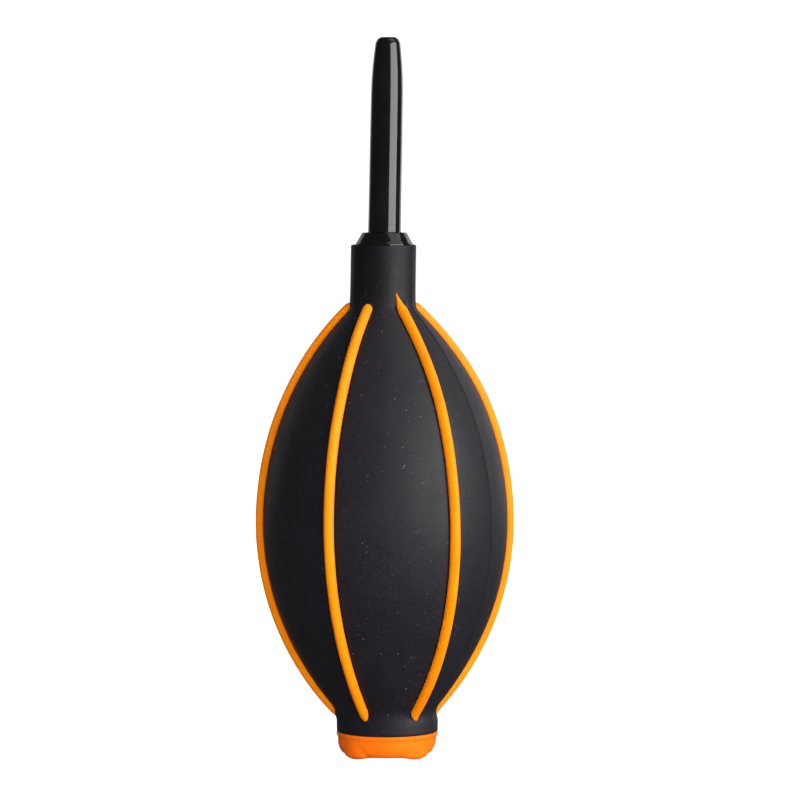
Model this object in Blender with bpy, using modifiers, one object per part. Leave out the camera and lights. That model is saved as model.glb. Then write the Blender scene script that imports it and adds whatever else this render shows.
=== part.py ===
"""Hand dust blower: a ribbed silicone bulb on a base cap with an inlet valve, and a pull-off nozzle tube.

Metres, +Z up along the bulb's axis. The origin is the centre of the base, on the plane of the feet.
Angles about the axis are degrees from -Y (the front) towards +X.
"""

import math

import bmesh
import bpy
from mathutils import Matrix, Vector

GAP = 0.0003                # between pieces that touch on the real object

# Bulb: an outer skin of two arcs that meet at the belly, and a cylindrical neck at each end
BELLY_Z = 0.0570
BELLY_RADIUS = 0.0298
UPPER_ARC_RADIUS = 0.0722
LOWER_ARC_RADIUS = 0.0665
WALL = 0.0030
FRONT_NECK_RADIUS = 0.00785
FRONT_NECK_BORE = 0.0058
FRONT_NECK_TOP = 0.1244
REAR_NECK_RADIUS = 0.01226
REAR_NECK_BORE = 0.0100
REAR_NECK_BOTTOM = 0.0060

# The two walls between ribs that the fingers press, cut out of the shell along Y
PRESS_HALF_WIDTH = 0.0123
PRESS_HALF_HEIGHT = 0.0300
PRESS_INNER_Y = 0.0150
PRESS_OUTER_Y = 0.0350

# Ribs: round beads half sunk in grooves that run from neck to neck
RIB_COUNT = 6
RIB_RADIUS = 0.00145
RIB_BOTTOM_Z = 0.0112
RIB_TOP_Z = 0.1089

# Nozzle collar: a cone on the rim of the front neck, with a barbed barrel inside the neck
CONE_TOP_Z = 0.1273
CONE_TOP_RADIUS = 0.00542
CONE_BOTTOM_RADIUS = 0.00685
BARREL_RADIUS = FRONT_NECK_BORE - GAP
BARREL_BOTTOM_Z = 0.1085
BARB_COUNT = 3
BARB_PITCH = 0.0040
BARB_DEPTH = 0.0005
SOCKET_RADIUS = 0.0036
SOCKET_BOTTOM_Z = 0.1185
COLLAR_AIRWAY = 0.0022

# Nozzle tube: straight, then an arc taper to a rounded tip
TUBE_FOOT_RADIUS = 0.00388
TUBE_RADIUS = 0.00375
TAPER_START_Z = 0.1600
TAPER_ARC_RADIUS = 0.0980
TAPER_END_Z = 0.1740
TIP_Z = 0.1750
TIP_EDGE = 0.0008
TUBE_BORE = 0.0014
SPIGOT_RADIUS = SOCKET_RADIUS - GAP
SPIGOT_BOTTOM_Z = 0.1193
SEAL_Z = 0.1220
SEAL_CENTRE_RADIUS = 0.0029
SEAL_SECTION = 0.0006
SEAL_GROOVE_RADIUS = 0.0021
SEAL_GROOVE_HALF = 0.0008

# Base cap: a rim under the rear neck, a bowl with four feet, and a hollow plug inside the neck
CAP_RIM_RADIUS = 0.0122
CAP_RIM_HEIGHT = 0.0005
CAP_SIDE_RADIUS = 0.01187
CAP_BOWL_START_Z = 0.0038
CAP_BOTTOM_Z = 0.0007
CAP_BOTTOM_RADIUS = 0.0093
PLUG_RADIUS = REAR_NECK_BORE - GAP
PLUG_TOP_Z = 0.0152
CHAMBER_RADIUS = 0.0078
CHAMBER_BOTTOM_Z = 0.0020
INLET_RADIUS = 0.0025
FOOT_COUNT = 4
FOOT_TURN = 41.0
FOOT_CENTRE_RADIUS = 0.0086
FOOT_CENTRE_Z = 0.0022
FOOT_HALF_SIZES = (0.0032, 0.0026, 0.0024)

# Inlet filter and valve, stacked in the chamber of the base cap
FILTER_THICKNESS = 0.0020
FILTER_RING_BORE = 0.0056
FILTER_RING_THICKNESS = 0.0012
SEAT_TOP_Z = 0.0142
SEAT_THICKNESS = 0.0016
SEAT_HOLE = 0.0012
PORT_COUNT = 6
PORT_RADIUS = 0.0011
PORT_CIRCLE = 0.0034
FLAP_RADIUS = 0.0056
FLAP_THICKNESS = 0.0007
FLAP_STEM_RADIUS = 0.0009
FLAP_BARB_RADIUS = 0.0016
FLAP_BARB_LENGTH = 0.0014
FLAP_TRAVEL = 0.0008

BULB_SEGMENTS = 36
SMALL_SEGMENTS = 24
ARC_STEPS = 9


def clear_scene():
    for scene_object in list(bpy.data.objects):
        bpy.data.objects.remove(scene_object, do_unlink=True)


def make_collection(name):
    collection = bpy.data.collections.new(name)
    bpy.context.scene.collection.children.link(collection)
    return collection


def make_material(name, colour, roughness):
    material = bpy.data.materials.new(name)
    material.use_nodes = True
    shader = material.node_tree.nodes["Principled BSDF"]
    shader.inputs["Base Color"].default_value = (*colour, 1.0)
    shader.inputs["Roughness"].default_value = roughness
    shader.inputs["Metallic"].default_value = 0.0
    return material


def link_object(name, data, collection, material=None):
    new_object = bpy.data.objects.new(name, data)
    collection.objects.link(new_object)
    if material:
        data.materials.append(material)
    return new_object


def turned(name, profile, segments, collection, material, closed=True):
    """A solid of revolution: the profile's (radius, height) points run down the outer side."""
    mesh = bpy.data.meshes.new(name)
    edges = [(i, i + 1) for i in range(len(profile) - 1)]
    if closed:
        edges.append((len(profile) - 1, 0))
    mesh.from_pydata([(radius, 0.0, z) for radius, z in profile], edges, [])
    solid = link_object(name, mesh, collection, material)
    screw = solid.modifiers.new("turn", "SCREW")
    screw.steps = segments
    screw.render_steps = segments
    screw.use_merge_vertices = True
    screw.merge_threshold = 0.00001
    screw.use_smooth_shade = True
    return solid


def add_boolean(solid, tool, operation):
    boolean = solid.modifiers.new(operation.lower(), "BOOLEAN")
    boolean.object = tool
    boolean.operation = operation


def make_tool(name, bm, cutters):
    """A hidden mesh that Boolean modifiers use."""
    mesh = bpy.data.meshes.new(name)
    bm.to_mesh(mesh)
    bm.free()
    return hide_tool(link_object(name, mesh, cutters))


def hide_tool(tool):
    tool.hide_render = True
    tool.display_type = "WIRE"
    return tool


def turn_about_axis(angle):
    """The rotation that carries -Y to the given angle from the front."""
    return Matrix.Rotation(math.radians(angle), 4, "Z")


def skin_radius(z, inset=0.0):
    """Radius of the bulb's skin, or of a surface that lies inset inside it, at a height."""
    arc = UPPER_ARC_RADIUS if z > BELLY_Z else LOWER_ARC_RADIUS
    return math.sqrt((arc - inset) ** 2 - (z - BELLY_Z) ** 2) - (arc - BELLY_RADIUS)


def skin_height(radius, upper, inset=0.0):
    """Height where the skin, or a surface inset inside it, has the given radius."""
    arc = UPPER_ARC_RADIUS if upper else LOWER_ARC_RADIUS
    rise = math.sqrt((arc - inset) ** 2 - (radius + arc - BELLY_RADIUS) ** 2)
    return BELLY_Z + rise if upper else BELLY_Z - rise


def skin_arc(upper_radius, lower_radius, inset=0.0):
    """Points down the skin, between a radius above the belly and a radius below it."""
    points = []
    for upper, radius in ((True, upper_radius), (False, lower_radius)):
        arc = (UPPER_ARC_RADIUS if upper else LOWER_ARC_RADIUS) - inset
        sweep = math.asin(abs(skin_height(radius, upper, inset) - BELLY_Z) / arc)
        for step in range(ARC_STEPS + 1):
            share = 1 - step / ARC_STEPS if upper else step / ARC_STEPS
            rise = arc * math.sin(sweep * share)
            z = BELLY_Z + rise if upper else BELLY_Z - rise
            if not points or step > 0:
                points.append((arc * math.cos(sweep * share) - arc - inset + BELLY_RADIUS, z))
    return points


def add_shell(name, collection, material):
    """The bulb's whole moulding, before anything is cut from it."""
    inner = skin_arc(FRONT_NECK_BORE, REAR_NECK_BORE, WALL)
    profile = [(FRONT_NECK_RADIUS, FRONT_NECK_TOP)]
    profile += skin_arc(FRONT_NECK_RADIUS, REAR_NECK_RADIUS)
    profile += [(REAR_NECK_RADIUS, REAR_NECK_BOTTOM), (REAR_NECK_BORE, REAR_NECK_BOTTOM)]
    profile += inner[::-1]
    profile.append((FRONT_NECK_BORE, FRONT_NECK_TOP))
    return turned(name, profile, BULB_SEGMENTS, collection, material)


def press_prism(bm, side, clearance):
    """An elliptic prism along Y through one side of the bulb; side is -1 at the front."""
    depth = PRESS_OUTER_Y - PRESS_INNER_Y
    size = Matrix.Diagonal((PRESS_HALF_WIDTH - clearance, PRESS_HALF_HEIGHT - clearance, 1.0, 1.0))
    place = Matrix.Translation((0.0, side * (PRESS_INNER_Y + PRESS_OUTER_Y) / 2, BELLY_Z))
    lay_along_y = Matrix.Rotation(math.radians(90), 4, "X")
    bmesh.ops.create_cone(bm, cap_ends=True, segments=40, radius1=1.0, radius2=1.0, depth=depth,
                          matrix=place @ lay_along_y @ size)


def rib_points(angle):
    """Points up the skin at an angle from the front, from the rear neck to the front neck."""
    inner_heights = [z for _, z in skin_arc(FRONT_NECK_RADIUS, REAR_NECK_RADIUS)[::-1]
                     if RIB_BOTTOM_Z + RIB_RADIUS < z < RIB_TOP_Z - RIB_RADIUS]
    line = [(REAR_NECK_RADIUS, RIB_BOTTOM_Z)]
    line += [(skin_radius(z), z) for z in inner_heights]
    line.append((FRONT_NECK_RADIUS, RIB_TOP_Z))
    return [turn_about_axis(angle) @ Vector((0.0, -radius, z)) for radius, z in line]


def bead_curve(name, angle, radius, collection, material=None):
    """A round bead along the rib's line, domed at both ends."""
    points = rib_points(angle)
    dome = [0.3, 0.75, 1.0]
    start = (points[0] - points[1]).normalized()
    end = (points[-1] - points[-2]).normalized()
    shape = [(points[0] + start * radius * reach, size) for reach, size in zip((0.95, 0.65, 0.0), dome)]
    shape += [(point, 1.0) for point in points[1:-1]]
    shape += [(points[-1] + end * radius * reach, size)
              for reach, size in zip((0.0, 0.65, 0.95), dome[::-1])]
    curve = bpy.data.curves.new(name, "CURVE")
    curve.dimensions = "3D"
    curve.bevel_depth = radius
    curve.bevel_resolution = 2
    curve.use_fill_caps = True
    spline = curve.splines.new("POLY")
    spline.points.add(len(shape) - 1)
    for spline_point, (place, size) in zip(spline.points, shape):
        spline_point.co = (*place, 1.0)
        spline_point.radius = size
    return link_object(name, curve, collection, material)


def curve_into(bm, curve_object):
    """Adds the mesh of a curve object to bm with its caps welded, and removes the curve."""
    bpy.context.view_layer.update()
    evaluated = curve_object.evaluated_get(bpy.context.evaluated_depsgraph_get())
    mesh = bpy.data.meshes.new_from_object(evaluated)
    mesh.transform(curve_object.matrix_world)
    bm.from_mesh(mesh)
    bmesh.ops.remove_doubles(bm, verts=bm.verts, dist=0.00001)
    bpy.data.meshes.remove(mesh)
    bpy.data.objects.remove(curve_object, do_unlink=True)


def rib_angles():
    return [30.0 + 360.0 / RIB_COUNT * index for index in range(RIB_COUNT)]


def add_bulb_body(parts, cutters, material):
    body = add_shell("bulb_body", parts, material)
    windows = bmesh.new()
    for side in (-1, 1):
        press_prism(windows, side, 0.0)
    add_boolean(body, make_tool("press_windows", windows, cutters), "DIFFERENCE")
    grooves = bmesh.new()
    for angle in rib_angles():
        curve_into(grooves, bead_curve("groove", angle, RIB_RADIUS + GAP, cutters))
    add_boolean(body, make_tool("rib_grooves", grooves, cutters), "DIFFERENCE")


def add_press_wall(name, side, parts, cutters, material):
    wall = add_shell(name, parts, material)
    prism = bmesh.new()
    press_prism(prism, side, GAP)
    add_boolean(wall, make_tool(name + "_outline", prism, cutters), "INTERSECT")


def add_ribs(parts, material):
    for index, angle in enumerate(rib_angles()):
        bead_curve("rib_%d" % (index + 1), angle, RIB_RADIUS, parts, material)


def add_nozzle_collar(parts, material):
    cone_bottom = FRONT_NECK_TOP + GAP
    profile = [(CONE_TOP_RADIUS, CONE_TOP_Z), (CONE_BOTTOM_RADIUS, cone_bottom), (BARREL_RADIUS, cone_bottom)]
    for barb in range(BARB_COUNT):
        top = cone_bottom - BARB_PITCH * (barb + 1)
        profile += [(BARREL_RADIUS - BARB_DEPTH, top), (BARREL_RADIUS, top)]
    profile += [
        (BARREL_RADIUS - BARB_DEPTH, BARREL_BOTTOM_Z),
        (COLLAR_AIRWAY, BARREL_BOTTOM_Z),
        (COLLAR_AIRWAY, SOCKET_BOTTOM_Z),
        (SOCKET_RADIUS, SOCKET_BOTTOM_Z),
        (SOCKET_RADIUS, CONE_TOP_Z),
    ]
    turned("nozzle_collar", profile, SMALL_SEGMENTS, parts, material)


def add_nozzle_tube(parts, material):
    profile = [(TUBE_BORE, TIP_Z)]
    taper_end_radius = taper_radius(TAPER_END_Z)
    for angle in (90, 60, 30):
        across = taper_end_radius - TIP_EDGE * (1 - math.cos(math.radians(angle)))
        up = (TIP_Z - TAPER_END_Z) * math.sin(math.radians(angle))
        profile.append((across, TAPER_END_Z + up))
    taper_steps = 5
    for step in range(taper_steps + 1):
        z = TAPER_END_Z + (TAPER_START_Z - TAPER_END_Z) * step / taper_steps
        profile.append((taper_radius(z), z))
    profile += [
        (TUBE_FOOT_RADIUS, CONE_TOP_Z + GAP),
        (SPIGOT_RADIUS, CONE_TOP_Z + GAP),
        (SPIGOT_RADIUS, SEAL_Z + SEAL_GROOVE_HALF),
        (SEAL_GROOVE_RADIUS, SEAL_Z + SEAL_GROOVE_HALF),
        (SEAL_GROOVE_RADIUS, SEAL_Z - SEAL_GROOVE_HALF),
        (SPIGOT_RADIUS, SEAL_Z - SEAL_GROOVE_HALF),
        (SPIGOT_RADIUS, SPIGOT_BOTTOM_Z),
        (TUBE_BORE, SPIGOT_BOTTOM_Z),
    ]
    turned("nozzle_tube", profile, SMALL_SEGMENTS, parts, material)


def taper_radius(z):
    """Radius of the tapered part of the nozzle tube, an arc that starts along the tube."""
    return TUBE_RADIUS - TAPER_ARC_RADIUS + math.sqrt(TAPER_ARC_RADIUS ** 2 - (z - TAPER_START_Z) ** 2)


def add_nozzle_seal(parts, material):
    sides = 8
    profile = []
    for side in range(sides):
        angle = math.tau * side / sides
        profile.append((SEAL_CENTRE_RADIUS + SEAL_SECTION * math.sin(angle),
                        SEAL_Z + SEAL_SECTION * math.cos(angle)))
    turned("nozzle_o_ring", profile, SMALL_SEGMENTS, parts, material)


def add_base_cap(parts, cutters, material):
    rim_top = REAR_NECK_BOTTOM - GAP
    side_top = rim_top - CAP_RIM_HEIGHT
    profile = [(0.0, PLUG_TOP_Z), (PLUG_RADIUS, PLUG_TOP_Z), (PLUG_RADIUS, rim_top), (CAP_RIM_RADIUS, rim_top),
               (CAP_RIM_RADIUS, side_top), (CAP_SIDE_RADIUS, side_top - GAP)]
    bowl_steps = 5
    for step in range(bowl_steps + 1):
        angle = math.pi / 2 * step / bowl_steps
        across = CAP_BOTTOM_RADIUS + (CAP_SIDE_RADIUS - CAP_BOTTOM_RADIUS) * math.cos(angle)
        profile.append((across, CAP_BOWL_START_Z - (CAP_BOWL_START_Z - CAP_BOTTOM_Z) * math.sin(angle)))
    profile.append((0.0, CAP_BOTTOM_Z))
    cap = turned("base_cap", profile, BULB_SEGMENTS, parts, material, closed=False)
    feet = bmesh.new()
    for index in range(FOOT_COUNT):
        turn = turn_about_axis(FOOT_TURN + 360.0 / FOOT_COUNT * index)
        place = Matrix.Translation((0.0, -FOOT_CENTRE_RADIUS, FOOT_CENTRE_Z))
        bmesh.ops.create_uvsphere(feet, u_segments=16, v_segments=10, radius=1.0,
                                  matrix=turn @ place @ Matrix.Diagonal((*FOOT_HALF_SIZES, 1.0)))
    add_boolean(cap, make_tool("foot_lobes", feet, cutters), "UNION")
    below = bmesh.new()
    block = 4 * CAP_RIM_RADIUS
    bmesh.ops.create_cube(below, size=block, matrix=Matrix.Translation((0.0, 0.0, -block / 2)))
    add_boolean(cap, make_tool("below_feet", below, cutters), "DIFFERENCE")
    beyond = 0.001
    hollow = [(0.0, PLUG_TOP_Z + beyond), (CHAMBER_RADIUS, PLUG_TOP_Z + beyond), (CHAMBER_RADIUS, CHAMBER_BOTTOM_Z),
              (INLET_RADIUS, CHAMBER_BOTTOM_Z), (INLET_RADIUS, -beyond), (0.0, -beyond)]
    chamber = turned("cap_chamber", hollow, SMALL_SEGMENTS, cutters, None, closed=False)
    add_boolean(cap, hide_tool(chamber), "DIFFERENCE")


def add_filter(parts, filter_material, ring_material):
    radius = CHAMBER_RADIUS - GAP
    filter_bottom = CHAMBER_BOTTOM_Z + GAP
    filter_top = filter_bottom + FILTER_THICKNESS
    disc = [(0.0, filter_top), (radius, filter_top), (radius, filter_bottom), (0.0, filter_bottom)]
    turned("filter_disc", disc, SMALL_SEGMENTS, parts, filter_material, closed=False)
    ring_bottom = filter_top + GAP
    ring_top = ring_bottom + FILTER_RING_THICKNESS
    ring = [(FILTER_RING_BORE, ring_top), (radius, ring_top), (radius, ring_bottom),
            (FILTER_RING_BORE, ring_bottom)]
    turned("filter_ring", ring, SMALL_SEGMENTS, parts, ring_material)


def add_valve_seat(parts, cutters, material):
    radius = CHAMBER_RADIUS - GAP
    bottom = SEAT_TOP_Z - SEAT_THICKNESS
    plate = [(SEAT_HOLE, SEAT_TOP_Z), (radius, SEAT_TOP_Z), (radius, bottom), (SEAT_HOLE, bottom)]
    seat = turned("inlet_valve_seat", plate, SMALL_SEGMENTS, parts, material)
    ports = bmesh.new()
    for index in range(PORT_COUNT):
        place = Matrix.Translation((0.0, -PORT_CIRCLE, SEAT_TOP_Z - SEAT_THICKNESS / 2))
        bmesh.ops.create_cone(ports, cap_ends=True, segments=16, radius1=PORT_RADIUS, radius2=PORT_RADIUS,
                              depth=3 * SEAT_THICKNESS,
                              matrix=turn_about_axis(360.0 / PORT_COUNT * index) @ place)
    add_boolean(seat, make_tool("seat_ports", ports, cutters), "DIFFERENCE")


def add_valve_flap(parts, material):
    """An umbrella: a disc over the ports, and a stem with a barb that stops it when it has lifted."""
    bottom = SEAT_TOP_Z + GAP
    top = bottom + FLAP_THICKNESS
    barb_top = SEAT_TOP_Z - SEAT_THICKNESS - GAP - FLAP_TRAVEL
    profile = [
        (0.0, top + GAP),
        (FLAP_RADIUS * 0.4, top + GAP),
        (FLAP_RADIUS, top - FLAP_THICKNESS / 2),
        (FLAP_RADIUS, bottom),
        (FLAP_STEM_RADIUS, bottom),
        (FLAP_STEM_RADIUS, barb_top),
        (FLAP_BARB_RADIUS, barb_top),
        (FLAP_STEM_RADIUS, barb_top - FLAP_BARB_LENGTH),
        (0.0, barb_top - FLAP_BARB_LENGTH),
    ]
    turned("inlet_valve_flap", profile, SMALL_SEGMENTS, parts, material, closed=False)


def main():
    clear_scene()
    parts = make_collection("dust_blower_bulb")
    cutters = make_collection("cutters")
    black_silicone = make_material("black_silicone", (0.020, 0.019, 0.021), 0.62)
    orange_silicone = make_material("orange_silicone", (0.90, 0.29, 0.015), 0.45)
    orange_plastic = make_material("orange_plastic", (0.95, 0.20, 0.015), 0.42)
    gloss_black = make_material("gloss_black_plastic", (0.008, 0.008, 0.010), 0.12)
    seal_rubber = make_material("seal_rubber", (0.015, 0.015, 0.015), 0.5)
    filter_felt = make_material("filter_felt", (0.75, 0.75, 0.72), 0.95)
    white_plastic = make_material("white_plastic", (0.80, 0.80, 0.78), 0.4)
    clear_silicone = make_material("valve_silicone", (0.72, 0.72, 0.70), 0.5)
    add_bulb_body(parts, cutters, black_silicone)
    add_press_wall("front_press_wall", -1, parts, cutters, black_silicone)
    add_press_wall("back_press_wall", 1, parts, cutters, black_silicone)
    add_ribs(parts, orange_silicone)
    add_nozzle_collar(parts, gloss_black)
    add_nozzle_tube(parts, gloss_black)
    add_nozzle_seal(parts, seal_rubber)
    add_base_cap(parts, cutters, orange_plastic)
    add_filter(parts, filter_felt, white_plastic)
    add_valve_seat(parts, cutters, white_plastic)
    add_valve_flap(parts, clear_silicone)


main()
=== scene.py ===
"""The looks of the dust blower: silicone skin, ribs, nozzle, base cap, materials, studio and camera.

Metres, in the CAD frame: +Z up the bulb's axis, origin at the centre of the base.
Angles about the axis are degrees from -Y (the front) towards +X.
"""

import math

import bpy
import numpy as np
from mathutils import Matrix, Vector, noise


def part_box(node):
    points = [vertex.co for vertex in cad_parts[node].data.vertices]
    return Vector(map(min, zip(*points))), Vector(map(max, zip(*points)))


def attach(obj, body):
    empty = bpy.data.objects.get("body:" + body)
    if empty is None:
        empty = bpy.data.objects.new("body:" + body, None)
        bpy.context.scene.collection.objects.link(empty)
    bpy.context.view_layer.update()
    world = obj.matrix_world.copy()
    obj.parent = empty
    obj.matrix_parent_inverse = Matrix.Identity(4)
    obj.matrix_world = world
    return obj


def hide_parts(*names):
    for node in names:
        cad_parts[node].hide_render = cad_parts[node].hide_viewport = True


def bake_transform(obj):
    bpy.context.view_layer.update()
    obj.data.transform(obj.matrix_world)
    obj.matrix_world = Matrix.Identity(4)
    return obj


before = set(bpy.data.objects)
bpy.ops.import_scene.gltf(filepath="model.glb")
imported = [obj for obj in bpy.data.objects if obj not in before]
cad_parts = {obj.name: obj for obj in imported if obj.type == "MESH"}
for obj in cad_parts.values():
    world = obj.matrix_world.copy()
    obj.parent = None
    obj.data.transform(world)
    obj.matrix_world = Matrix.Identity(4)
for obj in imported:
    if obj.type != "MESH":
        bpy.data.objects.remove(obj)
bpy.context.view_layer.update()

MM = 0.001

# Camera: level with the bulb's shoulder, almost straight in front, with a long lens
CAMERA_AZIMUTH = -3.5
CAMERA_ELEVATION = 3.5
CAMERA_DISTANCE = 1.0
CAMERA_LENS = 185.4
AIM_HEIGHT = 86.72 * MM
AIM_RIGHT = 3.64 * MM

# The bulb's outline: the CAD's two arcs, a hair fuller
BELLY_Z = 57.0 * MM
BELLY_RADIUS = 29.95 * MM
SHOULDER_Z = 90.0 * MM
SHOULDER_SWELL = 0.24 * MM
SHOULDER_REACH = 17.0 * MM
UPPER_ARC_RADIUS = 72.2 * MM
LOWER_ARC_RADIUS = 66.5 * MM
WALL = 3.0 * MM
FRONT_NECK_RADIUS = 7.85 * MM
FRONT_NECK_BORE = 5.8 * MM
FRONT_NECK_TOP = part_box("bulb_body")[1].z
REAR_NECK_RADIUS = 12.26 * MM
REAR_NECK_BORE = 10.0 * MM
REAR_NECK_BOTTOM = 6.00 * MM
FRONT_FILLET = 0.9 * MM
REAR_FILLET = 1.0 * MM

# Each gore is a little flatter than a circle between its ribs, and slightly wavy
GORE_FLATNESS = 0.75 * MM
WAVE_HEIGHT = 0.10 * MM

# The front neck's lip is rough: nicks in its side and chips in its rim
LIP_NICKS = 0.09 * MM
LIP_CHIPS = 0.07 * MM

# The mould's parting line, a fine step on both sides
PARTING_ANGLE = 57.0
PARTING_STEP = 0.20 * MM
PARTING_FADE = 2.4 * MM

# Above these heights the front neck's black is darkened: painted shade, standing in for the light that falls
# off up the neck
NECK_PAINTED_SHADE_HEIGHTS = (106.0 * MM, 114.0 * MM)

# Ribs, evenly spaced beads that stand out of the skin by their rise and lie in it by their depth
RIB_COUNT = 6
RIB_SPACING = 360.0 / RIB_COUNT
FIRST_RIB = RIB_SPACING / 2
RIB_HALF_WIDTH = 1.21 * MM
RIB_RISE = 1.50 * MM
RIB_DEPTH = 1.05 * MM
RIB_BOTTOM_Z = 10.7 * MM
RIB_TOP_Z = 108.85 * MM
RIB_UNEVENNESS = 0.015

# One rib thins out to a point on the neck, and drifts sideways by some degrees as it does
POINT_START_Z = 109.0 * MM
POINT_TOP_Z = 112.9 * MM
POINT_THINNING = 0.95
POINT_DRIFT = -9.5

# Beside every rib the skin dips into a narrow seam
SEAM_DEPTH = 0.48 * MM
SEAM_OFFSET = 1.42 * MM
SEAM_WIDTH = 0.21 * MM

# The real bulb is a little crooked: its necks, nozzle and cap sit off the axis and its lower half is twisted
TWIST = math.radians(3.4)
TWIST_TOP_Z = 86.0 * MM
NECK_SHIFT = -0.54 * MM
NECK_SHIFT_HEIGHTS = (86.0 * MM, 112.0 * MM)
NECK_SLOPE = 0.016
NECK_SLOPE_START = 111.0 * MM
REAR_SHIFT = 0.54 * MM
REAR_SHIFT_HEIGHTS = (8.6 * MM, 11.0 * MM)
CAP_SHIFT_LEAST = 0.45
CAP_SHIFT_HEIGHTS = (-2.0 * MM, 6.0 * MM)
NOZZLE_SHIFT = -0.17 * MM
NOZZLE_SLOPE = 0.0185
NOZZLE_SLOPE_START = 125.0 * MM

TURNED_SIDES = 128


# ---------------------------------------------------------------- camera, light and floor

def add_camera():
    """The photograph's view."""
    azimuth = math.radians(CAMERA_AZIMUTH)
    elevation = math.radians(CAMERA_ELEVATION)
    right = Vector((math.cos(azimuth), math.sin(azimuth), 0.0))
    target = Vector((0.0, 0.0, AIM_HEIGHT)) + right * AIM_RIGHT
    back = Vector((math.sin(azimuth) * math.cos(elevation),
                   -math.cos(azimuth) * math.cos(elevation), math.sin(elevation)))
    camera_data = bpy.data.cameras.new("camera")
    camera_data.lens = CAMERA_LENS
    camera_data.sensor_width = 36.0
    camera_data.clip_start = 0.1
    camera_data.clip_end = 100.0
    camera = bpy.data.objects.new("camera", camera_data)
    bpy.context.scene.collection.objects.link(camera)
    camera.location = target + back * CAMERA_DISTANCE
    camera.rotation_mode = "QUATERNION"
    camera.rotation_quaternion = (-back).to_track_quat("-Z", "Y")
    bpy.context.scene.camera = camera


def add_softbox(name, azimuth, distance, height, size, power, aim_z, glossy=True):
    """A rectangular area light that faces the object; azimuth is degrees from the front."""
    light = bpy.data.lights.new(name, "AREA")
    light.shape = "RECTANGLE"
    light.size = size[0]
    light.size_y = size[1]
    light.energy = power
    lamp = bpy.data.objects.new(name, light)
    bpy.context.scene.collection.objects.link(lamp)
    angle = math.radians(azimuth)
    lamp.location = (distance * math.sin(angle), -distance * math.cos(angle), height)
    toward = Vector((0.0, 0.0, aim_z)) - lamp.location
    lamp.rotation_mode = "QUATERNION"
    lamp.rotation_quaternion = toward.to_track_quat("-Z", "Y")
    lamp.visible_camera = False
    lamp.visible_glossy = glossy


def add_studio():
    """Softboxes in a dim white room. The fills lighten the shadows but aren't mirrored in the gloss."""
    world = bpy.data.worlds.new("studio")
    world.use_nodes = True
    background = world.node_tree.nodes["Background"]
    background.inputs["Color"].default_value = (1.0, 1.0, 1.0, 1.0)
    background.inputs["Strength"].default_value = 0.078
    bpy.context.scene.world = world
    bpy.context.scene.view_settings.view_transform = "Standard"
    add_softbox("key_right", azimuth=52.5, distance=0.9, height=0.32, size=(1.02, 0.62), power=12.6,
                aim_z=0.06)
    add_softbox("top_right", azimuth=74.0, distance=0.62, height=1.3, size=(1.0, 1.0), power=4.4, aim_z=0.10)
    add_softbox("rim_right", azimuth=142.0, distance=1.2, height=0.35, size=(0.5, 0.8), power=1.6, aim_z=0.08)
    add_softbox("rim_left", azimuth=-150.0, distance=1.2, height=0.35, size=(0.4, 0.8), power=0.7, aim_z=0.08)
    add_softbox("fill_left", azimuth=-70.0, distance=1.0, height=0.35, size=(1.0, 1.0), power=1.8,
                aim_z=0.05, glossy=False)
    add_softbox("fill_front", azimuth=0.0, distance=0.36, height=0.04, size=(0.4, 0.08), power=1.3,
                aim_z=-0.02, glossy=False)
    add_softbox("fill_back", azimuth=180.0, distance=1.0, height=0.35, size=(1.0, 1.0), power=5.0,
                aim_z=0.05, glossy=False)


def add_floor():
    """A pale floor that sweeps up far away, all round. It lights nothing, so black parts stay black."""
    sides = 64
    disc_radius = 0.5
    flat_radius = 4.0
    sweep = 1.5
    sweep_steps = 8
    profile = [(disc_radius, 0.0), (flat_radius, 0.0)]
    for step in range(1, sweep_steps + 1):
        angle = math.pi / 2 * step / sweep_steps
        profile.append((flat_radius + sweep * math.sin(angle), sweep * (1 - math.cos(angle))))
    points = [at_angle(radius, 360.0 * side / sides, z) for radius, z in profile for side in range(sides)]
    faces = loop_faces(len(profile), sides)
    faces.append(tuple(range(sides)))
    mesh = bpy.data.meshes.new("floor")
    mesh.from_pydata([tuple(point) for point in points], [], faces)
    floor = bpy.data.objects.new("floor", mesh)
    bpy.context.scene.collection.objects.link(floor)
    material = bpy.data.materials.new("floor_paper")
    material.use_nodes = True
    shader = material.node_tree.nodes["Principled BSDF"]
    shader.inputs["Base Color"].default_value = (0.30, 0.30, 0.30, 1.0)
    shader.inputs["Roughness"].default_value = 0.9
    shader.inputs["Specular IOR Level"].default_value = 0.1
    shader.inputs["Emission Color"].default_value = (1.0, 1.0, 1.0, 1.0)
    shader.inputs["Emission Strength"].default_value = 0.99
    mesh.materials.append(material)
    floor.visible_glossy = False
    floor.visible_diffuse = False


# ---------------------------------------------------------------- materials

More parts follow.
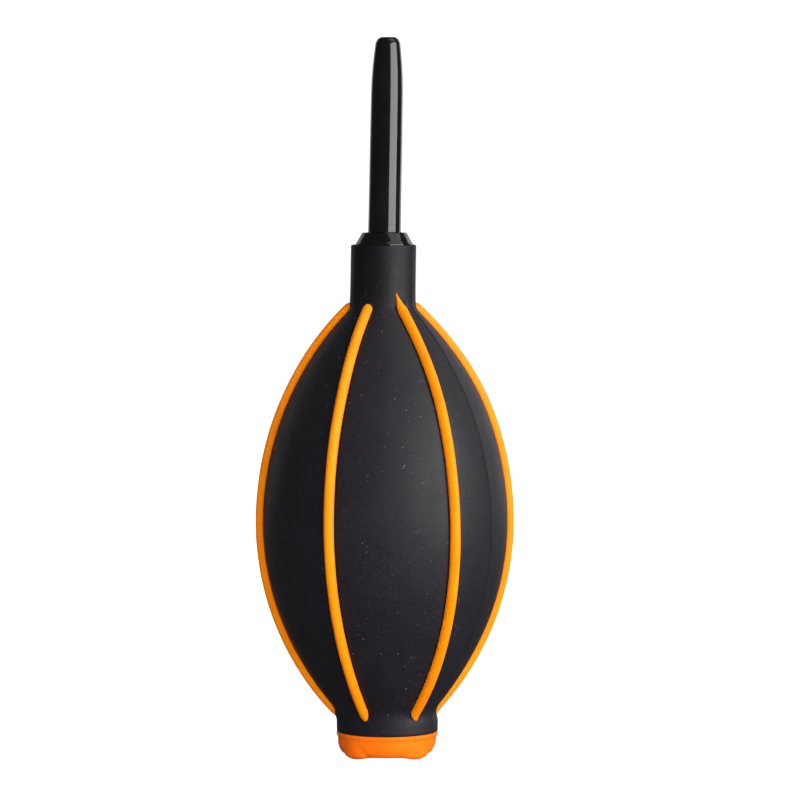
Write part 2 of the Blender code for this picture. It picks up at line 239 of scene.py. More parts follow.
class Nodes:
    """Short calls for building one material's node tree."""

    def __init__(self, name):
        self.material = bpy.data.materials.new(name)
        self.material.use_nodes = True
        self.tree = self.material.node_tree
        self.shader = self.tree.nodes["Principled BSDF"]
        coordinates = self.tree.nodes.new("ShaderNodeTexCoord")
        self.place = coordinates.outputs["Object"]

    def link(self, source, target):
        self.tree.links.new(source, target)

    def value(self, socket, number):
        self.shader.inputs[socket].default_value = number

    def noise(self, scale, detail=2.0, rough=0.5, stretch=None):
        source = self.place
        if stretch:
            mapping = self.tree.nodes.new("ShaderNodeMapping")
            mapping.inputs["Scale"].default_value = stretch
            self.link(source, mapping.inputs["Vector"])
            source = mapping.outputs["Vector"]
        node = self.tree.nodes.new("ShaderNodeTexNoise")
        node.inputs["Scale"].default_value = scale
        node.inputs["Detail"].default_value = detail
        node.inputs["Roughness"].default_value = rough
        self.link(source, node.inputs["Vector"])
        return node.outputs["Fac"]

    def cells(self, scale, output="Distance"):
        node = self.tree.nodes.new("ShaderNodeTexVoronoi")
        node.inputs["Scale"].default_value = scale
        self.link(self.place, node.inputs["Vector"])
        return node.outputs[output]

    def steps(self, factor, low, high, start, end, smooth=True):
        """Maps a factor from low..high to start..end, clamped."""
        node = self.tree.nodes.new("ShaderNodeMapRange")
        node.interpolation_type = "SMOOTHSTEP" if smooth else "LINEAR"
        node.inputs["From Min"].default_value = low
        node.inputs["From Max"].default_value = high
        node.inputs["To Min"].default_value = start
        node.inputs["To Max"].default_value = end
        self.link(factor, node.inputs["Value"])
        return node.outputs["Result"]

    def math(self, operation, first, second):
        node = self.tree.nodes.new("ShaderNodeMath")
        node.operation = operation
        for socket, source in zip(node.inputs, (first, second)):
            if isinstance(source, (int, float)):
                socket.default_value = source
            else:
                self.link(source, socket)
        return node.outputs["Value"]

    def mix(self, factor, first, second):
        node = self.tree.nodes.new("ShaderNodeMix")
        node.data_type = "RGBA"
        self.link(factor, node.inputs["Factor"])
        for socket, source in ((node.inputs[6], first), (node.inputs[7], second)):
            if isinstance(source, tuple):
                socket.default_value = (*source, 1.0)
            else:
                self.link(source, socket)
        return node.outputs[2]

    def height(self):
        """The object-space height, in metres."""
        node = self.tree.nodes.new("ShaderNodeSeparateXYZ")
        self.link(self.place, node.inputs["Vector"])
        return node.outputs["Z"]

    def bump(self, height, depth, strength=1.0, below=None):
        node = self.tree.nodes.new("ShaderNodeBump")
        node.inputs["Distance"].default_value = depth
        node.inputs["Strength"].default_value = strength
        self.link(height, node.inputs["Height"])
        if below:
            self.link(below, node.inputs["Normal"])
        return node.outputs["Normal"]

    def colour(self, source):
        self.link(source, self.shader.inputs["Base Color"])

    def roughness(self, source):
        self.link(source, self.shader.inputs["Roughness"])

    def normal(self, source):
        self.link(source, self.shader.inputs["Normal"])


def black_silicone():
    nodes = Nodes("black_silicone")
    cloud = nodes.noise(70.0, 4.0, 0.55)
    clouded = nodes.steps(cloud, 0.3, 0.7, 0.0, 1.0)
    base = nodes.mix(clouded, (0.0066, 0.0058, 0.0084), (0.0088, 0.0079, 0.0110))
    grain = nodes.noise(2600.0, 2.0, 0.6)
    grained = nodes.mix(nodes.steps(grain, 0.35, 0.75, 0.0, 0.5), base, (0.020, 0.019, 0.024))
    specks = 950.0
    speck_size = nodes.steps(nodes.cells(specks, "Color"), 0.3, 1.0, 0.0, 0.17, smooth=False)
    dust = nodes.math("LESS_THAN", nodes.cells(specks), speck_size)
    patch = nodes.steps(nodes.noise(60.0, 3.0, 0.6), 0.42, 0.60, 0.2, 0.9)
    dusty = nodes.mix(nodes.math("MULTIPLY", dust, patch), grained, (0.17, 0.17, 0.18))
    # Painted shade: the colour darkens up the front neck, for the dimmer light there, not a darker silicone
    painted_neck_shade = nodes.steps(nodes.height(), *NECK_PAINTED_SHADE_HEIGHTS, 0.0, 0.65)
    nodes.colour(nodes.mix(painted_neck_shade, dusty, (0.0020, 0.0018, 0.0026)))
    nodes.roughness(nodes.steps(nodes.noise(140.0, 5.0, 0.6), 0.3, 0.7, 0.52, 0.60))
    nodes.value("IOR", 1.41)
    nodes.value("Specular IOR Level", 0.47)
    fine = nodes.bump(grain, 0.00004, 0.35)
    nodes.normal(nodes.bump(nodes.noise(160.0, 3.0, 0.5), 0.00025, 0.12, below=fine))
    return nodes.material


def orange_silicone():
    nodes = Nodes("orange_silicone")
    cloud = nodes.noise(110.0, 3.0, 0.5)
    clouded = nodes.steps(cloud, 0.3, 0.7, 0.0, 1.0)
    base = nodes.mix(clouded, (0.93, 0.236, 0.001), (0.99, 0.264, 0.002))
    soil = nodes.steps(nodes.noise(900.0, 4.0, 0.7), 0.60, 0.78, 0.0, 0.18)
    nodes.colour(nodes.mix(soil, base, (0.35, 0.08, 0.003)))
    nodes.roughness(nodes.steps(nodes.noise(350.0, 3.0, 0.6), 0.3, 0.7, 0.48, 0.62))
    nodes.value("IOR", 1.41)
    nodes.value("Specular IOR Level", 0.25)
    nodes.value("Subsurface Weight", 0.10)
    nodes.shader.inputs["Subsurface Radius"].default_value = (1.0, 0.35, 0.08)
    nodes.value("Subsurface Scale", 0.0008)
    nodes.normal(nodes.bump(nodes.noise(2200.0, 2.0, 0.5), 0.00003, 0.25))
    return nodes.material


def orange_cap_plastic():
    nodes = Nodes("orange_cap_plastic")
    cloud = nodes.noise(130.0, 3.0, 0.5)
    clouded = nodes.steps(cloud, 0.3, 0.7, 0.0, 1.0)
    nodes.colour(nodes.mix(clouded, (0.94, 0.150, 0.004), (0.99, 0.175, 0.006)))
    nodes.roughness(nodes.steps(nodes.noise(420.0, 4.0, 0.6), 0.3, 0.7, 0.42, 0.54))
    nodes.value("IOR", 1.46)
    nodes.value("Specular IOR Level", 0.15)
    nodes.value("Subsurface Weight", 0.08)
    nodes.shader.inputs["Subsurface Radius"].default_value = (1.0, 0.3, 0.06)
    nodes.value("Subsurface Scale", 0.0008)
    nodes.normal(nodes.bump(nodes.noise(1800.0, 2.0, 0.5), 0.00003, 0.25))
    return nodes.material


def gloss_black_plastic():
    nodes = Nodes("gloss_black_plastic")
    clouded = nodes.steps(nodes.noise(90.0, 2.0, 0.5), 0.3, 0.7, 0.0, 1.0)
    nodes.colour(nodes.mix(clouded, (0.0035, 0.0033, 0.0036), (0.0055, 0.0052, 0.0056)))
    scuffs = nodes.noise(500.0, 5.0, 0.65, stretch=(1.0, 1.0, 0.25))
    nodes.roughness(nodes.steps(scuffs, 0.35, 0.75, 0.07, 0.17))
    nodes.value("IOR", 1.49)
    nodes.normal(nodes.bump(nodes.noise(240.0, 2.0, 0.5, stretch=(1.0, 1.0, 0.3)), 0.00006, 0.10))
    return nodes.material


def seal_rubber():
    nodes = Nodes("seal_rubber")
    nodes.colour(nodes.mix(nodes.noise(800.0, 3.0, 0.6), (0.010, 0.010, 0.010), (0.022, 0.022, 0.022)))
    nodes.roughness(nodes.steps(nodes.noise(1500.0), 0.3, 0.7, 0.35, 0.5))
    nodes.normal(nodes.bump(nodes.noise(2500.0), 0.00002, 0.3))
    return nodes.material


def filter_felt():
    nodes = Nodes("filter_felt")
    fibres = nodes.noise(1500.0, 5.0, 0.7, stretch=(1.0, 0.25, 1.0))
    crossing = nodes.noise(1500.0, 5.0, 0.7, stretch=(0.25, 1.0, 1.0))
    weave = nodes.math("MAXIMUM", fibres, crossing)
    woven = nodes.steps(weave, 0.45, 0.75, 0.0, 1.0)
    nodes.colour(nodes.mix(woven, (0.42, 0.42, 0.40), (0.80, 0.80, 0.77)))
    nodes.value("Roughness", 0.95)
    nodes.normal(nodes.bump(weave, 0.0002, 0.8))
    return nodes.material


def white_plastic():
    nodes = Nodes("white_plastic")
    nodes.colour(nodes.mix(nodes.noise(200.0, 3.0, 0.5), (0.70, 0.70, 0.68), (0.78, 0.78, 0.76)))
    nodes.roughness(nodes.steps(nodes.noise(700.0, 3.0, 0.6), 0.3, 0.7, 0.35, 0.48))
    nodes.normal(nodes.bump(nodes.noise(1600.0), 0.00003, 0.25))
    return nodes.material


def valve_silicone():
    nodes = Nodes("valve_silicone")
    nodes.colour(nodes.mix(nodes.noise(300.0, 3.0, 0.5), (0.60, 0.60, 0.58), (0.70, 0.70, 0.68)))
    nodes.roughness(nodes.steps(nodes.noise(600.0, 3.0, 0.6), 0.3, 0.7, 0.40, 0.55))
    nodes.value("Subsurface Weight", 0.15)
    nodes.value("Subsurface Scale", 0.001)
    nodes.normal(nodes.bump(nodes.noise(1400.0), 0.00003, 0.3))
    return nodes.material


# ---------------------------------------------------------------- mesh helpers

def bulb_sway(z):
    """Sideways shift of the moulding and its ribs at a height."""
    neck = NECK_SHIFT * smooth_step(*NECK_SHIFT_HEIGHTS, z)
    slope = NECK_SLOPE * max(z - NECK_SLOPE_START, 0.0)
    rear = REAR_SHIFT * (1.0 - smooth_step(*REAR_SHIFT_HEIGHTS, z))
    return neck + slope + rear


def twisted(points):
    """The bulb's points, turned a little about its axis, more so towards the base."""
    turned = []
    for point in points:
        share = min(max(1.0 - point[2] / TWIST_TOP_Z, 0.0), 1.0)
        angle = TWIST * share * share
        turned.append(Vector((point[0] * math.cos(angle) - point[1] * math.sin(angle),
                              point[0] * math.sin(angle) + point[1] * math.cos(angle), point[2])))
    return turned


def cap_sway(z):
    """Sideways shift of the base cap at a height."""
    return REAR_SHIFT * (CAP_SHIFT_LEAST + (1.0 - CAP_SHIFT_LEAST) * smooth_step(*CAP_SHIFT_HEIGHTS, z))


def nozzle_sway(z):
    """Sideways shift of the nozzle at a height."""
    return NOZZLE_SHIFT + NOZZLE_SLOPE * (z - NOZZLE_SLOPE_START)


def swayed(points, sway):
    """The points, shifted sideways by what sway says for their heights."""
    return [Vector((point[0] + sway(point[2]), point[1], point[2])) for point in points]


def make_piece(name, points, faces, material):
    """A closed, smooth-shaded mesh object."""
    mesh = bpy.data.meshes.new(name)
    mesh.from_pydata([tuple(point) for point in points], [], faces)
    mesh.materials.append(material)
    mesh.shade_smooth()
    piece = bpy.data.objects.new(name, mesh)
    bpy.context.scene.collection.objects.link(piece)
    return piece


def at_angle(radius, angle, z):
    """A point at a radius and height, angle in degrees from the front."""
    turn = math.radians(angle)
    return Vector((radius * math.sin(turn), -radius * math.cos(turn), z))


def loop_faces(rows, columns, close_rows=False):
    """Quads between successive rows of a flat list of points, each row a closed loop of columns."""
    faces = []
    for row in range(rows if close_rows else rows - 1):
        first = row * columns
        second = ((row + 1) % rows) * columns
        for column in range(columns):
            after = (column + 1) % columns
            faces.append((first + column, second + column, second + after, first + after))
    return faces


def turned_piece(name, profile, material, sharp=35.0):
    """A ring of revolution: its closed (radius, height) profile runs down the outer side and up the bore."""
    points = []
    for radius, z in profile:
        for side in range(TURNED_SIDES):
            points.append(at_angle(radius, 360.0 * side / TURNED_SIDES, z))
    faces = loop_faces(len(profile), TURNED_SIDES, close_rows=True)
    piece = make_piece(name, swayed(points, nozzle_sway), faces, material)
    piece.data.set_sharp_from_angle(angle=math.radians(sharp))
    return piece


def rounded(corner_in, corner, corner_out, radius, steps=4):
    """Points that round a profile corner between its two neighbours."""
    corner = Vector(corner)
    toward_in = (Vector(corner_in) - corner).normalized()
    toward_out = (Vector(corner_out) - corner).normalized()
    start = corner + toward_in * radius
    end = corner + toward_out * radius
    points = []
    for step in range(steps + 1):
        share = step / steps
        point = start.lerp(corner, share).lerp(corner.lerp(end, share), share)
        points.append(tuple(point))
    return points


def soften(profile, radii):
    """Rounds the corners of a closed profile; radii maps a point's index to its rounding."""
    points = []
    count = len(profile)
    for index, corner in enumerate(profile):
        if radii.get(index):
            before = profile[(index - 1) % count]
            after = profile[(index + 1) % count]
            points += rounded(before, corner, after, radii[index])
        else:
            points.append(corner)
    return points


def smooth_step(low, high, value):
    """0 below low, 1 above high, and a smooth rise between them."""
    share = min(max((value - low) / (high - low), 0.0), 1.0)
    return share * share * (3 - 2 * share)


def plateau(value, rise, fall):
    """A smooth rise between rise's two values and back down between fall's."""
    return smooth_step(*rise, value) * (1 - smooth_step(*fall, value))


def bell(value, width):
    """1 at zero, falling off on both sides."""
    return math.exp(-(value / width) ** 2)


# ---------------------------------------------------------------- bulb

def skin_radius(z, inset=0.0):
    """Radius of the bulb's arcs at a height, or of a surface that lies inset inside them."""
    arc = UPPER_ARC_RADIUS if z > BELLY_Z else LOWER_ARC_RADIUS
    swell = SHOULDER_SWELL * bell(z - SHOULDER_Z, SHOULDER_REACH)
    return math.sqrt((arc - inset) ** 2 - (z - BELLY_Z) ** 2) - (arc - BELLY_RADIUS) + swell


def blended_max(first, second, width):
    """The larger of two radii, with a fillet where they cross."""
    return (first + second + math.sqrt((first - second) ** 2 + width ** 2)) / 2


def outer_radius(z):
    """Radius of the moulding's outside, necks included."""
    if z > BELLY_Z:
        return blended_max(FRONT_NECK_RADIUS, skin_radius(z), FRONT_FILLET)
    return blended_max(REAR_NECK_RADIUS, skin_radius(z), REAR_FILLET)


def inner_radius(z):
    """Radius of the moulding's inside, necks included."""
    if z > BELLY_Z:
        return blended_max(FRONT_NECK_BORE, skin_radius(z, WALL), FRONT_FILLET)
    return blended_max(REAR_NECK_BORE, skin_radius(z, WALL), REAR_FILLET)


def skin_heights():
    """Heights of the skin's rings, from the top rim down, closer together at the necks."""
    rim_drops = (0.12, 0.3, 0.6, 1.0, 1.6, 2.4, 3.4)
    foot_rises = (1.6, 0.9, 0.35, 0.12)
    fine_from = 103 * MM
    fine_below = 17 * MM
    fine_step = 0.7 * MM
    coarse_step = 1.35 * MM
    heights = [FRONT_NECK_TOP - drop * MM for drop in rim_drops]
    z = heights[-1]
    while z > REAR_NECK_BOTTOM + 2.4 * MM:
        near_neck = z > fine_from or z < fine_below
        z -= fine_step if near_neck else coarse_step
        heights.append(z)
    return heights + [REAR_NECK_BOTTOM + rise * MM for rise in foot_rises]


def between(start, end, spans=7):
    """The evenly spaced values that cut a stretch into equal spans, without its ends."""
    return [start + (end - start) * step / spans for step in range(1, spans)]


def gore_columns(radius):
    """Angles across one gore, from the middle of a rib to the middle of the next, from 0 degrees up."""
    width = math.radians(RIB_SPACING) * radius
    line = math.radians(PARTING_ANGLE - FIRST_RIB) * radius
    beside_rib = [offset * MM for offset in (0.0, 0.6, 1.05, 1.22, 1.36, 1.50, 1.70, 2.10)]
    beside_line = [line + offset * MM for offset in (-0.5, -0.22, -0.12, 0.0, 0.15, 0.5, 1.2)]
    last = width - beside_rib[-1]
    left = between(beside_rib[-1], beside_line[0])
    right = between(beside_line[-1], last)
    across = beside_rib + left + beside_line + right + [width - offset for offset in reversed(beside_rib)]
    return [math.degrees(offset / radius) for offset in across]


def ring_noise(angle, bumps, level):
    """Smooth noise that closes on itself round the axis; more bumps make it finer."""
    turn = math.radians(angle)
    return noise.noise(Vector((math.sin(turn) * bumps, math.cos(turn) * bumps, level)))


def skin_relief(z, angle, radius):
    """How far the outside stands proud of the plain outline: seams, the mould line and slight waves."""
    gore = (angle - FIRST_RIB) % RIB_SPACING
    to_rib = min(gore, RIB_SPACING - gore)
    from_rib = math.radians(to_rib) * radius
    along_rib = plateau(z, (9.6 * MM, 10.6 * MM), (109.5 * MM, 110.6 * MM))
    relief = -SEAM_DEPTH * bell(from_rib - SEAM_OFFSET, SEAM_WIDTH) * along_rib
    across = to_rib / (RIB_SPACING / 2)
    belly = plateau(z, (12 * MM, 26 * MM), (90 * MM, 108 * MM))
    relief -= GORE_FLATNESS * (1.0 - (1.0 - across) ** 2) * belly
    from_line = math.radians((angle - PARTING_ANGLE + 90.0) % 180.0 - 90.0) * radius
    if from_line > -0.06 * MM:
        relief += PARTING_STEP * math.exp(-max(from_line, 0.0) / PARTING_FADE)
    calm = plateau(z, (8 * MM, 25 * MM), (98 * MM, 112 * MM))
    relief += WAVE_HEIGHT * ring_noise(angle, 1.6, z * 45.0) * calm
    rough_lip = smooth_step(FRONT_NECK_TOP - 0.9 * MM, FRONT_NECK_TOP - 0.2 * MM, z)
    return relief + LIP_NICKS * ring_noise(angle, 14.0, 3.0) * rough_lip


def skin_column(angle_of, gore_start):
    """One column's points, down the outside and up the inside; angle_of gives its angle at a radius."""
    outer = []
    inner = []
    heights = skin_heights()
    end_bevel = 0.10 * MM
    rim_inset = 0.32 * MM
    foot_inset = 0.28 * MM
    for index, z in enumerate(heights):
        radius = outer_radius(z)
        angle = gore_start + angle_of(radius)
        edge = end_bevel if index in (0, len(heights) - 1) else 0.0
        outer.append(at_angle(radius + skin_relief(z, angle, radius) - edge, angle, z))
        inner.append(at_angle(inner_radius(z), angle, z))
    top_angle = gore_start + angle_of(FRONT_NECK_RADIUS)
    chip = LIP_CHIPS * ring_noise(top_angle, 11.0, 8.0)
    rim_top = FRONT_NECK_TOP + min(chip, 0.0)
    outer.insert(0, at_angle(FRONT_NECK_RADIUS - rim_inset, top_angle, rim_top))
    inner.insert(0, at_angle(FRONT_NECK_BORE, top_angle, rim_top))
    foot_angle = gore_start + angle_of(REAR_NECK_RADIUS)
    outer.append(at_angle(REAR_NECK_RADIUS - foot_inset, foot_angle, REAR_NECK_BOTTOM))
    inner.append(at_angle(REAR_NECK_BORE, foot_angle, REAR_NECK_BOTTOM))
    return outer + inner[::-1]


def add_skin_half(name, first_gore, material):
    """Half of the moulding: three gores, from the middle of one side rib to the other."""
    columns = []
    for gore in range(RIB_COUNT // 2):
        gore_start = first_gore + RIB_SPACING * gore
        count = len(gore_columns(BELLY_RADIUS))
        for column in range(0 if gore == 0 else 1, count):
            columns.append(skin_column(lambda radius, c=column: gore_columns(radius)[c], gore_start))
    ring = len(columns[0])
    points = [point for column in columns for point in column]
    faces = loop_faces(len(columns), ring)
    last = (len(columns) - 1) * ring
    for step in range(ring // 2 - 1):
        mirror = ring - 1 - step
        faces.append((step, step + 1, mirror - 1, mirror))
        faces.append((last + step, last + mirror, last + mirror - 1, last + step + 1))
    faces = [tuple(reversed(face)) for face in faces]
    piece = make_piece(name, swayed(twisted(points), bulb_sway), faces, material)
    piece.data.set_sharp_from_angle(angle=math.radians(50))
    return piece


def rib_radius(z, pointed):
    """Radius of a rib's centre line: it dives into the necks, but a pointed top lies along the neck."""
    radius = skin_radius(z)
    if pointed and z > SHOULDER_Z:
        return blended_max(FRONT_NECK_RADIUS, radius, FRONT_FILLET)
    return radius


def rib_path(top, pointed, count):
    """Radii and heights up the rib's centre line, evenly spaced along it."""
    dense = np.linspace(RIB_BOTTOM_Z, top, 1200)
    radii = np.array([rib_radius(z, pointed) for z in dense])
    along = np.concatenate([[0.0], np.cumsum(np.hypot(np.diff(dense), np.diff(radii)))])
    wanted = np.linspace(0.0, along[-1], count)
    return list(zip(np.interp(wanted, along, radii), np.interp(wanted, along, dense)))


def rib_rings(angle, pointed):
    """Radius, height, direction and size of every ring of a rib, domed at its ends."""
    top = POINT_TOP_Z if pointed else RIB_TOP_Z
    path = rib_path(top, pointed, count=150)
    rings = []
    for index, (radius, z) in enumerate(path):
        before = path[max(index - 1, 0)]
        after = path[min(index + 1, len(path) - 1)]
        tangent = Vector((after[0] - before[0], after[1] - before[1])).normalized()
        size = 1.0 + RIB_UNEVENNESS * noise.noise(Vector((angle, 0.0, z * 160.0)))
        if pointed:
            along_point = max((z - POINT_START_Z) / (POINT_TOP_Z - POINT_START_Z), 0.0)
            size *= 1.0 - POINT_THINNING * along_point ** 0.95
        rings.append((radius, z, tangent, size))
    start = dome_rings(rings[0], -1)
    end = dome_rings(rings[-1], 1)
    return start[::-1] + rings + end


def dome_rings(ring, way):
    """The rings that close a rib in a dome, outward from its last ring; way is -1 at the bottom end."""
    radius, z, tangent, full = ring
    quarter = math.pi / 2
    rings = []
    for step in (1, 2, 3, 4, 5, 5.6):
        reach = way * RIB_RISE * full * math.sin(quarter * step / 6)
        size = full * math.cos(quarter * step / 6)
        rings.append((radius + tangent.x * reach, z + tangent.y * reach, tangent, size))
    return rings


def add_rib(name, angle, material, pointed):
    """A bead that follows the skin, half sunk in it; a pointed one drifts sideways as it thins out."""
    sides = 28
    points = []
    rings = rib_rings(angle, pointed)
    for radius, z, tangent, size in rings:
        here = angle
        if pointed:
            here += POINT_DRIFT * smooth_step(POINT_START_Z - 0.4 * MM, POINT_TOP_Z + 0.7 * MM, z)
        turn = math.radians(here)
        sideways = Vector((math.cos(turn), math.sin(turn), 0.0))
        outward = Vector((math.sin(turn) * tangent.y, -math.cos(turn) * tangent.y, -tangent.x))
        centre = at_angle(radius, here, z)
        for side in range(sides):
            around = math.tau * side / sides
            across = math.cos(around) * RIB_HALF_WIDTH
            rise = math.sin(around) * (RIB_RISE if around < math.pi else RIB_DEPTH)
            points.append(centre + (sideways * across + outward * rise) * size)
    faces = loop_faces(len(rings), sides)
    faces.append(tuple(range(sides)))
    faces.append(tuple((len(rings) - 1) * sides + side for side in reversed(range(sides))))
    return make_piece(name, swayed(twisted(points), bulb_sway), faces, material)


def add_bulb(skin_material, rib_material):
    """The skin's two halves and the ribs. The side ribs are attached to the bulb; the skin halves and the
    other ribs have their placement baked into their meshes.
    """
    front = add_skin_half("skin_front", -90.0, skin_material)
    back = add_skin_half("skin_back", 90.0, skin_material)
    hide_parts("bulb_body", "front_press_wall")
    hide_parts("bulb_body", "back_press_wall")
    bend_with_wall(front)
    bend_with_wall(back)
    for index in range(RIB_COUNT):
        angle = FIRST_RIB + RIB_SPACING * index
        rib = add_rib("rib_bead_%d" % (index + 1), angle, rib_material, pointed=index == 0)
        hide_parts("rib_%d" % (index + 1))
        depth = -math.cos(math.radians(angle))
        at_side = abs(depth) < 0.1
        if at_side:
            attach(rib, "bulb")
        else:
            bend_with_wall(rib)


def bend_with_wall(piece):
    """Bakes the piece's placement into its mesh."""
    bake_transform(piece)


# ---------------------------------------------------------------- nozzle

# Outlines in millimetres. The collar's shoulder has radii and heights above the neck's rim, and its
# rounding goes by the number of the corner, from the top
COLLAR_SHOULDER = ((6.50, 0.80), (6.88, 0.25), (6.92, 0.02))
COLLAR_TOP_RADIUS = 5.34
COLLAR_ROUNDING = {0: 0.14, 1: 0.3, 2: 0.12}
BARREL_RADIUS = 5.0
BARB_RADIUS = 5.5
BARB_PITCH = 4.0
AIRWAY_RADIUS = 2.2
SOCKET_RADIUS = 3.6
SOCKET_FLOOR_Z = 118.5

# The tube's tip has radii and drops, its straight part heights and radii, and its spigot, which sits in
# the collar's socket and holds the O-ring, radii and heights
TIP_DROP = 0.12
TIP_ROUNDING = (
    (1.48, 0.42), (1.60, 0.40), (1.80, 0.47), (2.10, 0.62), (2.38, 0.82), (2.60, 1.05), (2.76, 1.35),
)
TAPER_TOP_DROP = 1.90
TAPER_START_Z = 160.0
TAPER_START_RADIUS = 3.82
TAPER_ARC = 98.0
STRAIGHT_PART = ((150.0, 3.87), (140.0, 3.88), (132.0, 3.90), (129.0, 3.93))
FOOT_FILLET = 0.35
SEAT_GAP = 0.02
SPIGOT = ((3.3, 122.8), (2.1, 122.8), (2.1, 121.2), (3.3, 121.2), (3.3, 119.5), (3.1, 119.3))
TUBE_BORE = 1.4
BORE_TOP_DROP = 0.6

# The O-ring in the spigot's groove
SEAL_RADIUS = 2.9
SEAL_THICKNESS = 1.2
SEAL_Z = 122.0


def in_metres(profile):
    """The (radius, height) pairs of a profile in millimetres, turned into metres."""
    return [(radius * MM, z * MM) for radius, z in profile]


def add_nozzle(gloss, rubber):
    """The collar's shoulder stays on the bulb; the tube and its seal pull out of it."""
    collar = turned_piece("nozzle_shoulder", collar_profile(), gloss)
    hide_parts("nozzle_collar")
    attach(collar, "bulb")
    tube = turned_piece("nozzle_tube_fine", tube_profile(), gloss)
    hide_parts("nozzle_tube")
    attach(tube, "nozzle")
    seal = turned_piece("nozzle_seal_fine", seal_profile(), rubber)
    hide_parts("nozzle_o_ring")
    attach(seal, "nozzle")


def collar_profile():
    """The conical shoulder, the barbed barrel inside the neck, the airway and the tube's socket."""
    bottom, top = (corner.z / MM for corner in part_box("nozzle_collar"))
    rim = FRONT_NECK_TOP / MM
    profile = [(COLLAR_TOP_RADIUS, top)]
    profile += [(radius, rim + rise) for radius, rise in COLLAR_SHOULDER]
    profile.append((BARB_RADIUS, rim + COLLAR_SHOULDER[-1][1]))
    for barb in (1, 2, 3):
        z = rim - BARB_PITCH * barb
        profile += [(BARREL_RADIUS, z), (BARB_RADIUS, z)]
    profile += [(BARREL_RADIUS, bottom), (AIRWAY_RADIUS, bottom), (AIRWAY_RADIUS, SOCKET_FLOOR_Z)]
    profile += [(SOCKET_RADIUS, SOCKET_FLOOR_Z), (SOCKET_RADIUS, top)]
    return in_metres(soften(profile, COLLAR_ROUNDING))


def tube_profile():
    """The nozzle tube: tip, taper, straight part, fillet at the foot, grooved spigot, bore."""
    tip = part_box("nozzle_tube")[1].z / MM
    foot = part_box("nozzle_collar")[1].z / MM + SEAT_GAP
    profile = [(radius, tip - (drop + TIP_DROP)) for radius, drop in TIP_ROUNDING]
    taper_top = tip - TAPER_TOP_DROP
    taper_steps = 14
    for step in range(taper_steps + 1):
        z = taper_top + (TAPER_START_Z - taper_top) * step / taper_steps
        fall = TAPER_ARC - math.sqrt(TAPER_ARC ** 2 - (z - TAPER_START_Z) ** 2)
        profile.append((TAPER_START_RADIUS - fall, z))
    profile += [(radius, z) for z, radius in STRAIGHT_PART]
    foot_radius = STRAIGHT_PART[-1][1]
    fillet_steps = 4
    for step in range(fillet_steps + 1):
        angle = math.pi / 2 * step / fillet_steps
        flare = FOOT_FILLET * (1 - math.cos(angle))
        rise = FOOT_FILLET * (1 - math.sin(angle))
        profile.append((foot_radius + flare, foot + rise))
    profile.append((SPIGOT[0][0], foot))
    profile += SPIGOT
    profile += [(TUBE_BORE, SPIGOT[-1][1]), (TUBE_BORE, tip - BORE_TOP_DROP)]
    return in_metres(profile)


def seal_profile():
    """The O-ring's round section."""
    sides = 20
    thick = SEAL_THICKNESS / 2
    profile = []
    for side in range(sides):
        turn = math.tau * side / sides
        profile.append((SEAL_RADIUS + thick * math.sin(turn), SEAL_Z + thick * math.cos(turn)))
    return in_metres(profile)


# ---------------------------------------------------------------- base cap and inlet

# The cap's outlines as radii and heights in millimetres, from its rim down; the feet and the bowl between
# them have a point each at every level
CAP_PLUG_RADIUS = 9.7
CAP_PLUG_BORE = 7.8
CAP_PLUG_TOP = 15.2
CAP_RIM = (
    (12.05, 5.97), (12.26, 5.90), (12.38, 5.72), (12.39, 5.50), (12.33, 5.26), (12.22, 5.04), (12.10, 4.84),
)
CAP_BOWL = (
    (12.01, 4.60), (11.98, 4.10), (11.94, 3.45), (11.84, 2.85), (11.68, 2.33),
    (11.48, 1.88), (11.27, 1.50), (11.05, 1.20), (10.80, 0.95), (10.50, 0.76),
    (10.05, 0.66), (9.10, 0.62), (8.20, 0.62), (7.20, 0.62), (6.30, 0.62),
)
CAP_FOOT = (
    (12.03, 4.60), (12.02, 4.10), (12.01, 3.45), (11.99, 2.80), (11.96, 2.15),
    (11.90, 1.55), (11.79, 1.02), (11.61, 0.58), (11.33, 0.24), (10.96, 0.04),
    (10.52, 0.00), (9.70, 0.02), (8.80, 0.16), (7.80, 0.38), (6.80, 0.56),
)
CAP_INLET = ((4.2, 0.62), (3.1, 0.68), (2.75, 0.84), (2.5, 1.25), (2.5, 2.0))

# The feet: where the first one is, and how the side passes into them, in degrees from a foot's middle
FEET = 4
FIRST_FOOT = 41.0
FOOT_EDGES = (12.0, 34.0)
TOE_SPREAD = 16.5

# A shallow valley slants down beside each foot
VALLEY_DEPTH = 0.36
VALLEY_OFFSET = 25.5
VALLEY_SLANT = 4.5
VALLEY_SPREAD = 5.5
VALLEY_FADE = (1.4, 4.4)


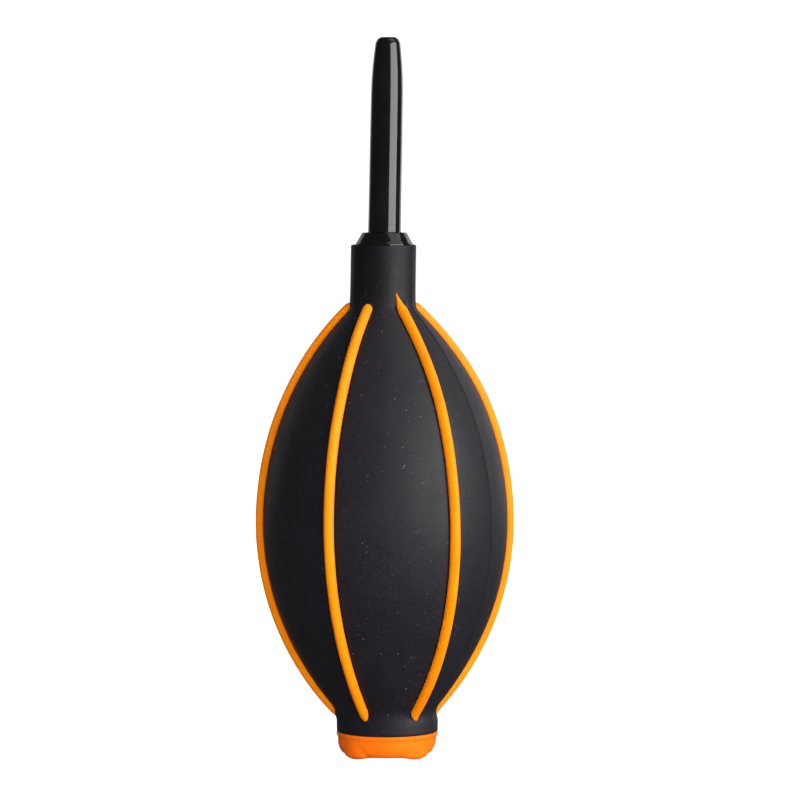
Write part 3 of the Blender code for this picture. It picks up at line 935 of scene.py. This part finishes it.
def cap_point(bowl_point, foot_point, angle):
    """Mixes the bowl's and the foot's outlines, in millimetres, by the angle from the nearest foot."""
    pitch = 360.0 / FEET
    from_foot = abs((angle - FIRST_FOOT + pitch / 2) % pitch - pitch / 2)
    foot_share = 1.0 - smooth_step(*FOOT_EDGES, from_foot)
    radius = bowl_point[0] + (foot_point[0] - bowl_point[0]) * foot_share
    z = bowl_point[1] + (foot_point[1] - bowl_point[1]) * bell(from_foot, TOE_SPREAD)
    valley = VALLEY_DEPTH * bell(from_foot - VALLEY_OFFSET + VALLEY_SLANT * z, VALLEY_SPREAD)
    return radius - valley * (1.0 - smooth_step(*VALLEY_FADE, z)), z


def cap_outlines():
    """Pairs of bowl and foot points, down the outside, in to the inlet and up the plug's bore."""
    above = ((CAP_PLUG_RADIUS, CAP_PLUG_TOP), (CAP_PLUG_RADIUS, CAP_RIM[0][1]), *CAP_RIM)
    under = (*CAP_INLET, (CAP_PLUG_BORE, CAP_INLET[-1][1]), (CAP_PLUG_BORE, CAP_PLUG_TOP))
    return [*zip(above, above), *zip(CAP_BOWL, CAP_FOOT), *zip(under, under)]


def add_base_cap(material):
    """A bowl whose side swells into feet, with a thin rim on top and an air inlet below."""
    columns = 240
    points = []
    outlines = cap_outlines()
    for bowl_point, foot_point in outlines:
        for column in range(columns):
            angle = 360.0 * column / columns
            radius, z = cap_point(bowl_point, foot_point, angle)
            points.append(at_angle(radius * MM, angle, z * MM))
    faces = loop_faces(len(outlines), columns, close_rows=True)
    piece = make_piece("base_cap_fine", swayed(points, cap_sway), faces, material)
    piece.data.set_sharp_from_angle(angle=math.radians(60))
    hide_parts("base_cap")
    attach(piece, "bulb")


def dress_inner_parts(materials):
    """The filter and valve keep their CAD shapes and get their finishes."""
    for node, material in materials.items():
        inner_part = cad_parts[node]
        inner_part.data.materials.clear()
        inner_part.data.materials.append(material)


add_camera()
add_studio()
add_floor()
add_bulb(black_silicone(), orange_silicone())
add_nozzle(gloss_black_plastic(), seal_rubber())
add_base_cap(orange_cap_plastic())
white = white_plastic()
dress_inner_parts({
    "filter_disc": filter_felt(),
    "filter_ring": white,
    "inlet_valve_seat": white,
    "inlet_valve_flap": valve_silicone(),
})
